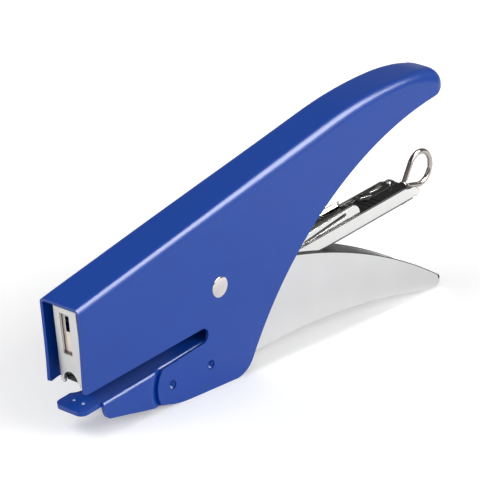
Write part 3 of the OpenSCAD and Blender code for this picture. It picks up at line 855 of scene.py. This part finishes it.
def rail(name, y0, y1, end_x, end_top, corner, slot):
    """One upright plate of the inner frame, with a long slot near its round rear end."""
    out = [(RAIL_X, RAIL_FOOT_Z), (end_x, RAIL_FOOT_Z)]
    out += arc((end_x - corner, end_top - corner), corner, 0, 92, 12)
    out += [(40, RAIL_TOP), (12, RAIL_TOP)]
    out += arc((0, 0), 4.6, 30, 150, 16)
    out += [(-12, RAIL_TOP), (RAIL_X, RAIL_TOP)]
    return dress(plate(name, out, y0, y1, 0.28, [RIVET_HOLE, slot]), "magazine", "chrome", BRIGHT)


def inner_frame():
    """The two plates; the near one is raised at its end and its slot runs down to the front."""
    outside = FRAME_Y - 0.04
    top = RAIL_TOP + NEAR_RISE
    slot = long_slot((39, MAG_TOP + 0.5, 0.42, 7), (NEAR_END - 6.5, top - 1.5, 0.62, 7))
    near_rail = rail("inner_rail_near", -FRAME_IN_Y - 0.02, -outside, NEAR_END, top, 3.1, slot)
    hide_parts("inner_frame")
    top = RAIL_TOP + FAR_RISE
    slot = long_slot((36, top - 1, 0.5, 0), (FAR_END - 1.05, top - 1, 0.5, 0))
    rail("inner_rail_far", FRAME_Y - 0.5, outside, FAR_END, top, 0.9, slot)


inner_frame()


def front_plate():
    """The plate in the front opening, folded back at both sides, with two short feet at its foot."""
    bm = bmesh.new()
    half, bend = FRAME_Y + 0.15, 0.3
    top, base, foot = MAG_BASE + 22, MAG_BASE, MAG_BASE - 1.05
    arch_y, arch_r = 0.45, 2.65
    left = half - bend
    slot = [(-1.35, -0.5), (1.95, -0.5), (2.05, 11.7), (-1.5, 11.7)]
    side_foot = [(left, foot + 0.5), (left - 0.35, foot), (left - 1.0, foot), (left - 1.35, foot + 0.4)]
    side_foot += [(left - 1.4, base)]
    face = [(-y, z) for y, z in side_foot]
    face += [(arch_y + arch_r * cos(radians(a)), base + 0.05 + (arch_r + 0.2) * sin(radians(a)))
             for a in range(180, -1, -12)]
    face += side_foot[::-1] + [(left, top), (-left, top)]
    edges = []
    for ring in (face, slot):
        edges += ring_edges(bm, [(MAG_FRONT, y, z) for y, z in ring])
    fill(bm, edges, (-1, 0, 0))
    for side in (-1, 1):
        turns = [radians(18 * k) for k in range(6)]
        fold = [(MAG_FRONT + bend * (1 - cos(a)), side * (left + bend * sin(a))) for a in turns]
        fold.append((MAG_START, side * half))
        join_rows(bm, [[bm.verts.new((x, y, z)) for z in (foot + 0.5, top)] for x, y in fold])
    bmesh.ops.remove_doubles(bm, verts=bm.verts, dist=1e-3)
    face_outwards(bm, 0)
    o = new_object("front_plate_sheet", bm, magazine, 35)
    thicken(o, 0.75)
    soften(o, 0.12, 2, 40)
    dress(bake(o), "magazine", "chrome", PLATE, ["front_plate"])


front_plate()


def driver_blade():
    """The blade behind the slot: bright below, with a window in its upper half."""
    bm = bmesh.new()
    blade = [(-2.98, -3.75), (2.98, -3.75), (2.98, 10.98), (-2.98, 10.98)]
    window = [(-2.4, 6.1), (0.95, 6.1), (0.95, 10.75), (-2.4, 10.75)]
    edges = []
    for ring in (blade, window):
        edges += ring_edges(bm, [(BLADE_X, y, z) for y, z in ring])
    extrude(bm, fill(bm, edges, (-1, 0, 0)), (BLADE_SHEET, 0, 0))
    bmesh.ops.recalc_face_normals(bm, faces=bm.faces)
    o = new_object("driver_blade_strip", bm, magazine, 35)
    dress(bake(soften(o, 0.06, 2)), "driver", "spring_steel", BLADE, ["driver_blade"])


driver_blade()


def guide_core():
    """The dark core that the staples straddle, seen through the arch of the front plate."""
    core = box("guide_core", (CORE_X, CORE_X + 1.25), (-2.5, 2.5), (-7.8, -4.65), 0.1)
    dress(core, "magazine", "black_plastic", BLACK)
    lip = box("guide_lip", (CORE_X - 0.15, CORE_X + 0.39), (-3.4, 3.4), (-9.4, RAIL_FOOT_Z), 0.05)
    dress(lip, "magazine", "black_plastic", BLACK)


guide_core()

# ---------------------------------------------------------------- staples

STAPLE_X = -49.65
STAPLE_WIRE, STAPLE_HALF = 0.5, 3.1
STAPLE_COUNT = 50


def staples():
    """A strip of glued staples, each a square bridge of wire with two legs."""
    bm = bmesh.new()
    wire, half = STAPLE_WIRE, STAPLE_HALF
    crown, foot = -4.02, -7.84
    for i in range(STAPLE_COUNT):
        x = STAPLE_X + i * wire
        along = (x + 0.02, x + wire - 0.02)
        add_box(bm, along, (-half, half), (crown - wire, crown))
        add_box(bm, along, (-half, -half + wire), (foot, crown - wire))
        add_box(bm, along, (half - wire, half), (foot, crown - wire))
    o = new_object("staples", bm, magazine)
    dress(bake(soften(o, 0.05, 1)), "magazine", "zinc", ZINC, ["staple_strip"])


staples()

# ---------------------------------------------------------------- follower

ROD_Z = -6.05
RING_C, RING_R = (95.4, -3.5), 5.1
STEM_X = 84.2
RING_TWIST = radians(1.5)
WIRE_R = 0.85
APEX_X, APEX_BEND = 87.8, 0.9
BLOCK_FRONT, BLOCK_TOP = 64, -4.8


def pull_ring():
    """Wire bent into an eye, its end wrapped once round the stem."""
    dx, dz = APEX_X - RING_C[0], ROD_Z - RING_C[1]
    facing = math.degrees(atan2(dz, dx))
    reach = sqrt(dx * dx + dz * dz) - APEX_BEND
    half = math.degrees(acos((RING_R - APEX_BEND) / reach))
    apex = (RING_C[0] + reach * cos(radians(facing)), RING_C[1] + reach * sin(radians(facing)))
    path = arc(RING_C, RING_R, facing + half, facing + 360 - half, 64)
    path += arc(apex, APEX_BEND, facing - half, facing + half, 12)
    across, out = cos(RING_TWIST), sin(RING_TWIST)
    eye = [(APEX_X + (x - APEX_X) * across, (x - APEX_X) * out, z) for x, z in path]
    o = tube("pull_ring_eye", eye, WIRE_R, True, magazine, 24, (-out, across, 0))
    dress(o, "follower", "chrome", RING, ["pull_ring"])
    stem = [(STEM_X, 0, ROD_Z), (86, 0, ROD_Z), (88.1, 0, ROD_Z + 0.05)]
    dress(tube("pull_ring_stem", stem, WIRE_R, False, magazine, 24), "follower", "chrome", RING)
    wrap = lengthwise(helix((0, ROD_Z), 0.95, 87, 88.5, 1.6, 40))
    dress(tube("pull_ring_wrap", wrap, 0.42, False, magazine, 16, (1, 0, 0)), "follower", "chrome", RING)


pull_ring()


def follower_plug():
    """The black end block, ribbed on top, and its low tail. Their black is painted shade: it stands in for
    the dark inside of the channel, which is shade and dark reflection.
    """
    out = [(BLOCK_FRONT, -7.8), (86.6, -7.8), (86.6, -5.2), (86.2, BLOCK_TOP)]
    for groove in range(4):
        x = 73.6 - 2.2 * groove
        low = BLOCK_TOP - 0.15
        out += [(x, BLOCK_TOP), (x - 0.15, low), (x - 0.95, low), (x - 1.1, BLOCK_TOP)]
    out += [(BLOCK_FRONT + 0.4, BLOCK_TOP), (BLOCK_FRONT, -5.2)]
    # The block's black is painted shade: it darkens the inside of the channel.
    block = plate("end_block", out, -3.98, 3.98, 0.15)
    dress(block, "follower", "black_plastic", stands_for=["follower_plug"])
    # The tail, a low black strip along the channel's inside, is painted shade.
    tail = box("end_block_tail_painted_shade", (30, BLOCK_FRONT + 0.2), (-3.1, 3.1), (-4.5, -4.15))
    dress(tail, "follower", "black_plastic")


follower_plug()


def flat_piece(name, outline, z0, z1, look, lean=0.0, stands_for=()):
    """A small flat piece that lies on the end block; lean raises its far side."""
    bm = bmesh.new()
    verts = [bm.verts.new((x, y, z0 + lean * (y - outline[0][1]))) for x, y in outline]
    extrude(bm, [bm.faces.new(verts)], (0, 0, z1 - z0))
    bmesh.ops.recalc_face_normals(bm, faces=bm.faces)
    o = bake(soften(new_object(name, bm, magazine), 0.05, 2))
    dress(o, "follower", "spring_steel", look, stands_for)


def latch():
    """A blackened leaf on the end block with two bright raised tongues and a round rivet."""
    leaf = [(72, 0.7), (85.2, 0.7), (85.2, 3.6), (69.8, 3.6), (69.8, 2.2)]
    flat_piece("latch_leaf", leaf, BLOCK_TOP, -4.6, BLACKENED, stands_for=["latch_spring"])
    wedge = [(75.3, 3.45), (75.9, 2.95), (79.9, 2.5), (81.3, 3.0), (81.2, 3.7)]
    flat_piece("latch_tongue_rear", wedge, -4.55, -4.4, BRIGHT, 0.1)
    point = [(71.1, 2.7), (73.6, 2.0), (74.9, 1.3), (74.4, 1.9), (73.9, 2.5)]
    flat_piece("latch_tongue_front", point, -4.55, -4.42, BRIGHT, 0.1)
    head = blob("latch_rivet_head", (83.8, 2.55, -4.5), (0.8, 0.8, 0.6), magazine, 24, 16)
    dress(head, "follower", "zinc", BRIGHT, ["latch_rivet"])


latch()

# ---------------------------------------------------------------- springs

# The hold-down spring's seat on the saddle and the lever's bridge above it, and the pusher.
SEAT_X, SEAT_RISE = -30, 0.6
YOKE_Z = 1.6
PUSHER_LENGTH, PUSHER_TRAVEL = 7.2, 22.4


def hold_down_coil():
    """Between the saddle and the lever's bridge. It shortens as the lever closes."""
    wire = 0.28
    lowest = magazine((SEAT_X, 0, RAIL_TOP + SEAT_RISE))
    low, high = lowest.z / MM - PIVOT_Z + wire + 0.15, YOKE_Z - wire - 0.15
    path = helix((lowest.x / MM + MID_X, 0), 1.9, low, high, 4, 120)
    o = tube("hold_down_coil", path, wire, sides=12, axis=(0, 0, 1))
    dress(o, "magazine", "spring_steel", stands_for=["hold_down_spring"])
    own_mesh(o)


def feed_coil():
    """On the rod, between the pusher and the end block. It shortens as the pusher goes back."""
    x0 = STAPLE_X + STAPLE_COUNT * STAPLE_WIRE + PUSHER_LENGTH + 0.25
    x1 = BLOCK_FRONT - 0.25
    path = lengthwise(helix((0, ROD_Z), 1.3, x0, x1, 22, 460))
    o = tube("feed_coil", path, 0.2, place=magazine, sides=8, axis=(1, 0, 0))
    dress(o, "follower", "spring_steel", stands_for=["follower_spring"])
    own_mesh(o)


hold_down_coil()
feed_coil()

# ---------------------------------------------------------------- the CAD pieces that show as they are

# All CAD nodes get a look. These are the ones that no drawn piece stands for.
AS_THEY_ARE = {
    "pivot_spacer": STEEL, "inner_spacers": STEEL, "outer_washers": STEEL, "return_spring": SPRING,
    "driver_yoke": STEEL, "driver_pin": STEEL, "saddle_plate": STEEL, "frame_rivets": BRIGHT,
    "follower_rod": SPRING, "staple_pusher": STEEL,
}
SLOT_OF = {m["node"]: m["material_slot"] for m in frame["record"]["subparts"]}
for name, o in nodes.items():
    o.data.materials.clear()
    o.data.materials.append(AS_THEY_ARE.get(name) or LOOK[SLOT_OF[name]])

# ---------------------------------------------------------------- floor, light and camera

scene = bpy.context.scene
scene.view_settings.view_transform = "Standard"
scene.view_settings.look = "None"
scene.view_settings.exposure = 0
scene.view_settings.gamma = 1

# The floor's own light, near the object and far from it, and the two distances in metres. The weaker light
# near the object paints shade round it.
FLOOR_LIFT_NEAR, FLOOR_LIFT_FAR = 0.33, 0.65
FLOOR_NEAR, FLOOR_FAR = 0.04, 0.16


def floor():
    """A pale sheet. It shows white to the camera and in the metal, and keeps the shadow. Its glow is weaker
    near the object: a painted shade round it.
    """
    bm = bmesh.new()
    bmesh.ops.create_grid(bm, x_segments=1, y_segments=1, size=4)
    mesh = bpy.data.meshes.new("floor")
    bm.to_mesh(mesh)
    bm.free()
    o = bpy.data.objects.new("floor", mesh)
    scene.collection.objects.link(o)
    m, nt, bsdf = material("floor_paper")
    tone = mixed(nt, noise(nt, texture_space(nt), 30), (0.78, 0.78, 0.78), (0.81, 0.81, 0.81))
    nt.links.new(tone, bsdf.inputs["Base Color"])
    bsdf.inputs["Roughness"].default_value = 0.9
    bsdf.inputs["Specular IOR Level"].default_value = 0.1
    path = nt.nodes.new("ShaderNodeLightPath")
    seen = maths(nt, "MAXIMUM", path.outputs["Is Camera Ray"], path.outputs["Is Glossy Ray"])
    seen = maths(nt, "MAXIMUM", seen, path.outputs["Is Transmission Ray"])
    distance = nt.nodes.new("ShaderNodeVectorMath")
    distance.operation = "LENGTH"
    nt.links.new(nt.nodes.new("ShaderNodeNewGeometry").outputs["Position"], distance.inputs[0])
    # The floor's glow is weaker near the object: painted shade round it.
    lift_with_painted_shade = spread(nt, distance.outputs["Value"], FLOOR_LIFT_NEAR, FLOOR_LIFT_FAR, FLOOR_NEAR, FLOOR_FAR)
    bsdf.inputs["Emission Color"].default_value = (1, 1, 1, 1)
    nt.links.new(maths(nt, "MULTIPLY", seen, lift_with_painted_shade), bsdf.inputs["Emission Strength"])
    mesh.materials.append(m)


floor()


# White to the camera, and the room's grey by height, from the horizon at 0 to straight up at 1.
WHITE = 1.05
ROOM_GREYS = ((0, 0.45), (1, 0.3), (0.08, 0.4), (0.24, 0.24), (0.7, 0.2))


def world():
    """White for the camera; for everything else a soft room, darker high up at the back."""
    w = bpy.data.worlds.new("room")
    scene.world = w
    w.use_nodes = True
    nt = w.node_tree
    nt.nodes.clear()
    out = nt.nodes.new("ShaderNodeOutputWorld")
    path = nt.nodes.new("ShaderNodeLightPath")
    white = nt.nodes.new("ShaderNodeBackground")
    white.inputs["Color"].default_value = (1, 1, 1, 1)
    white.inputs["Strength"].default_value = WHITE
    room = nt.nodes.new("ShaderNodeBackground")
    co = nt.nodes.new("ShaderNodeTexCoord")
    split = nt.nodes.new("ShaderNodeSeparateXYZ")
    nt.links.new(co.outputs["Generated"], split.inputs["Vector"])
    ramp = nt.nodes.new("ShaderNodeValToRGB")
    e = ramp.color_ramp.elements
    for at, grey in ROOM_GREYS:
        stop = e[int(at)] if at in (0, 1) else e.new(at)
        stop.color = (grey, grey, grey, 1)
    nt.links.new(split.outputs["Z"], ramp.inputs["Fac"])
    nt.links.new(ramp.outputs["Color"], room.inputs["Color"])
    room.inputs["Strength"].default_value = 1.0
    mix = nt.nodes.new("ShaderNodeMixShader")
    nt.links.new(path.outputs["Is Camera Ray"], mix.inputs["Fac"])
    nt.links.new(room.outputs["Background"], mix.inputs[1])
    nt.links.new(white.outputs["Background"], mix.inputs[2])
    nt.links.new(mix.outputs["Shader"], out.inputs["Surface"])


world()


LAMP_AIM = Vector((0, 0, 0.03))


def softbox(name, towards, distance, size, power, card=False):
    """A soft lamp aimed at the object. A card only shows in gloss."""
    data = bpy.data.lights.new(name, "AREA")
    data.shape = "RECTANGLE"
    data.size, data.size_y = size
    data.energy = power
    o = bpy.data.objects.new(name, data)
    scene.collection.objects.link(o)
    d = Vector(towards).normalized()
    o.location = LAMP_AIM + d * distance
    o.rotation_euler = d.to_track_quat("Z", "Y").to_euler()
    if card:
        data.color = (1, 1, 0.93)
        o.visible_diffuse = False


softbox("key", (0.3, -0.85, 0.5), 1.2, (0.9, 0.9), 8.6)
softbox("top", (-0.8, 0.12, 1), 1.3, (0.6, 0.6), 6)
softbox("fill", (-1, -0.1, 0.45), 1.3, (0.7, 0.7), 2)
softbox("streak", (0.372, -0.45, 0.82), 1.1, (0.6, 0.85), 30, card=True)

# The camera's bearing from +Y towards +X, its fall, its place about the rivet and its focal length,
# all found by fitting the photo's perspective to the rivet, the roof's edges and the table line.
VIEW_BEARING, VIEW_FALL = radians(47.4539), radians(21.0070)
EYE_AT = (-573, -540.9, 314.4)
FOCAL_PX, PICTURE_PX = 3072.973, 480


def photo_camera():
    data = bpy.data.cameras.new("camera")
    data.sensor_width = 36
    data.lens = FOCAL_PX / PICTURE_PX * data.sensor_width
    data.clip_start = 0.05
    data.clip_end = 20
    o = bpy.data.objects.new("camera", data)
    scene.collection.objects.link(o)
    look = Vector((sin(VIEW_BEARING) * cos(VIEW_FALL), cos(VIEW_BEARING) * cos(VIEW_FALL), -sin(VIEW_FALL)))
    right = Vector((cos(VIEW_BEARING), -sin(VIEW_BEARING), 0))
    m = Matrix((right, right.cross(look), -look)).transposed().to_4x4()
    m.translation = standing(EYE_AT)
    o.matrix_world = m
    scene.camera = o


photo_camera()

bpy.context.view_layer.update()
